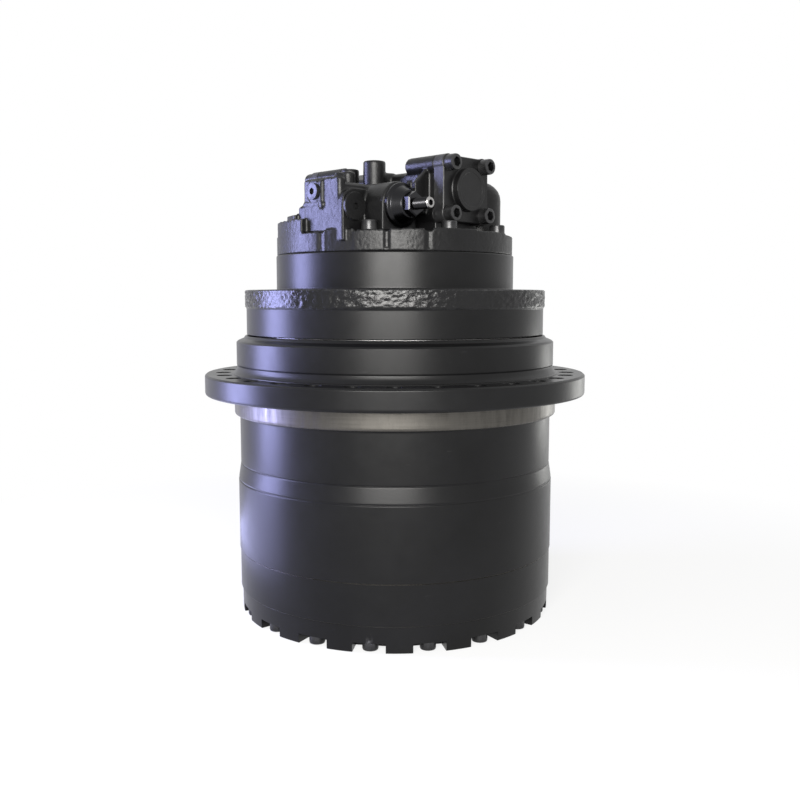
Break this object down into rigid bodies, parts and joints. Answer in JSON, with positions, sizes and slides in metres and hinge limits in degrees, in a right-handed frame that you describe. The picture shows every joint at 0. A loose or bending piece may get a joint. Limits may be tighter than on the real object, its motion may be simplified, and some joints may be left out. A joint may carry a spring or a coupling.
{
  "type": "excavator final drive",
  "caption": "Track drive for a crawler excavator: planetary hub drum with a drilled sprocket flange, fixed spindle with a built-in piston motor, and a hydraulic valve block on top.",
  "frame": {"origin": "centre of the cover's lands, where the drive stands on its cover", "axes": "+Z along the drive's own axis, from the cover up to the hydraulic block; the front relief valve looks towards -Y and +X"},
  "size_m": [0.548, 0.548, 0.638],
  "materials": {
    "casing_paint": "semi-gloss black paint over machined casting",
    "cast_paint": "black paint over rough casting",
    "screw_steel": "painted over, glossy black",
    "gear_steel": "hardened gear steel, oiled",
    "bearing_steel": "ground",
    "seal_rubber": "matt",
    "bronze": "machined",
    "friction_lining": "sintered, matt"
  },
  "bodies": {
    "frame_side": {"spindle": "casing_paint", "bearing_nut": "screw_steel", "lower_inner_race": "bearing_steel", "upper_inner_race": "bearing_steel", "spindle_seal_ring": "bearing_steel", "spindle_seal_rubber": "seal_rubber", "final_carrier": "gear_steel", "port_block": "cast_paint", "front_valve_cap": "cast_paint", "rear_valve_cap": "cast_paint", "front_relief_valve": "screw_steel", "front_lock_nut": "screw_steel", "front_adjuster": "screw_steel", "rear_relief_valve": "screw_steel", "rear_lock_nut": "screw_steel", "rear_adjuster": "screw_steel", "front_plug": "screw_steel", "side_plug": "screw_steel", "main_port_plug_1": "screw_steel", "main_port_plug_2": "screw_steel", "valve_plate": "bronze", "shaft_bearing_front": "bearing_steel", "shaft_bearing_rear": "bearing_steel", "shaft_seal": "seal_rubber", "brake_steel_plate_1": "gear_steel", "brake_steel_plate_2": "gear_steel", "brake_disc_spring": "bearing_steel", "front_spool_spring": "bearing_steel", "rear_spool_spring": "bearing_steel"},
    "hub": {"drum": "casing_paint", "ring_gear": "gear_steel", "cover": "cast_paint", "drain_plug": "screw_steel", "level_plug": "screw_steel", "thrust_plate": "bronze", "lower_outer_race": "bearing_steel", "upper_outer_race": "bearing_steel", "drum_seal_ring": "bearing_steel", "drum_seal_rubber": "seal_rubber"},
    "final_planet_1": {"final_planet_1": "gear_steel"},
    "final_planet_2": {"final_planet_2": "gear_steel"},
    "final_planet_3": {"final_planet_3": "gear_steel"},
    "final_planet_4": {"final_planet_4": "gear_steel"},
    "first_carrier": {"first_carrier": "gear_steel", "final_sun": "gear_steel"},
    "first_planet_1": {"first_planet_1": "gear_steel"},
    "first_planet_2": {"first_planet_2": "gear_steel"},
    "first_planet_3": {"first_planet_3": "gear_steel"},
    "motor_rotor": {"input_sun_shaft": "gear_steel", "shaft_coupling": "gear_steel", "motor_shaft": "gear_steel", "cylinder_block": "gear_steel", "pistons_and_retainer": "bronze", "brake_lined_disc_1": "friction_lining"},
    "swash_plate": {"swash_plate": "gear_steel"},
    "speed_piston": {"speed_piston": "bearing_steel"},
    "brake_piston": {"brake_piston": "bearing_steel"},
    "counterbalance_spool": {"counterbalance_spool": "bearing_steel"}
  },
  "joints": [
    {"name": "hub_spin", "type": "hinge", "parent": "frame_side", "child": "hub", "pos_m": [0, 0, 0.2], "axis": [0, 0, 1], "continuous": true},
    {"name": "final_planet_1_spin", "type": "hinge", "parent": "frame_side", "child": "final_planet_1", "pos_m": [0.08061, 0.08061, 0.131], "axis": [0, 0, 1], "continuous": true},
    {"name": "final_planet_2_spin", "type": "hinge", "parent": "frame_side", "child": "final_planet_2", "pos_m": [-0.08061, 0.08061, 0.131], "axis": [0, 0, 1], "continuous": true},
    {"name": "final_planet_3_spin", "type": "hinge", "parent": "frame_side", "child": "final_planet_3", "pos_m": [-0.08061, -0.08061, 0.131], "axis": [0, 0, 1], "continuous": true},
    {"name": "final_planet_4_spin", "type": "hinge", "parent": "frame_side", "child": "final_planet_4", "pos_m": [0.08061, -0.08061, 0.131], "axis": [0, 0, 1], "continuous": true},
    {"name": "first_carrier_spin", "type": "hinge", "parent": "frame_side", "child": "first_carrier", "pos_m": [0, 0, 0.1], "axis": [0, 0, 1], "continuous": true},
    {"name": "first_planet_1_spin", "type": "hinge", "parent": "first_carrier", "child": "first_planet_1", "pos_m": [0, 0.108, 0.064], "axis": [0, 0, 1], "continuous": true},
    {"name": "first_planet_2_spin", "type": "hinge", "parent": "first_carrier", "child": "first_planet_2", "pos_m": [-0.09353, -0.054, 0.064], "axis": [0, 0, 1], "continuous": true},
    {"name": "first_planet_3_spin", "type": "hinge", "parent": "first_carrier", "child": "first_planet_3", "pos_m": [0.09353, -0.054, 0.064], "axis": [0, 0, 1], "continuous": true},
    {"name": "motor_rotor_spin", "type": "hinge", "parent": "frame_side", "child": "motor_rotor", "pos_m": [0, 0, 0.45], "axis": [0, 0, 1], "continuous": true},
    {"name": "swash_tilt", "type": "hinge", "parent": "frame_side", "child": "swash_plate", "pos_m": [0, 0.02, 0.34709], "axis": [1, 0, 0], "range_deg": [-7, 0]},
    {"name": "speed_piston_slide", "type": "slide", "parent": "frame_side", "child": "speed_piston", "axis": [0, 0, 1], "range_m": [0, 0.0106]},
    {"name": "brake_release", "type": "slide", "parent": "frame_side", "child": "brake_piston", "axis": [0, 0, 1], "range_m": [0, 0.0025], "stiffness_N_per_m": 200000, "springref_m": -0.004, "deforming": ["brake_disc_spring"]},
    {"name": "spool_shift", "type": "slide", "parent": "frame_side", "child": "counterbalance_spool", "axis": [0.7071, -0.7071, 0], "range_m": [-0.008, 0.008], "stiffness_N_per_m": 4000, "deforming": ["front_spool_spring", "rear_spool_spring"]}
  ],
  "couplings": [
    {"joint": "final_planet_1_spin", "follows": "hub_spin", "ratio": 2.7273},
    {"joint": "final_planet_2_spin", "follows": "hub_spin", "ratio": 2.7273},
    {"joint": "final_planet_3_spin", "follows": "hub_spin", "ratio": 2.7273},
    {"joint": "final_planet_4_spin", "follows": "hub_spin", "ratio": 2.7273},
    {"joint": "first_carrier_spin", "follows": "hub_spin", "ratio": -3.75},
    {"joint": "first_planet_1_spin", "follows": "hub_spin", "ratio": 11.875},
    {"joint": "first_planet_2_spin", "follows": "hub_spin", "ratio": 11.875},
    {"joint": "first_planet_3_spin", "follows": "hub_spin", "ratio": 11.875},
    {"joint": "motor_rotor_spin", "follows": "hub_spin", "ratio": -27.5},
    {"joint": "speed_piston_slide", "follows": "swash_tilt", "m_per_rad": -0.0855}
  ]
}
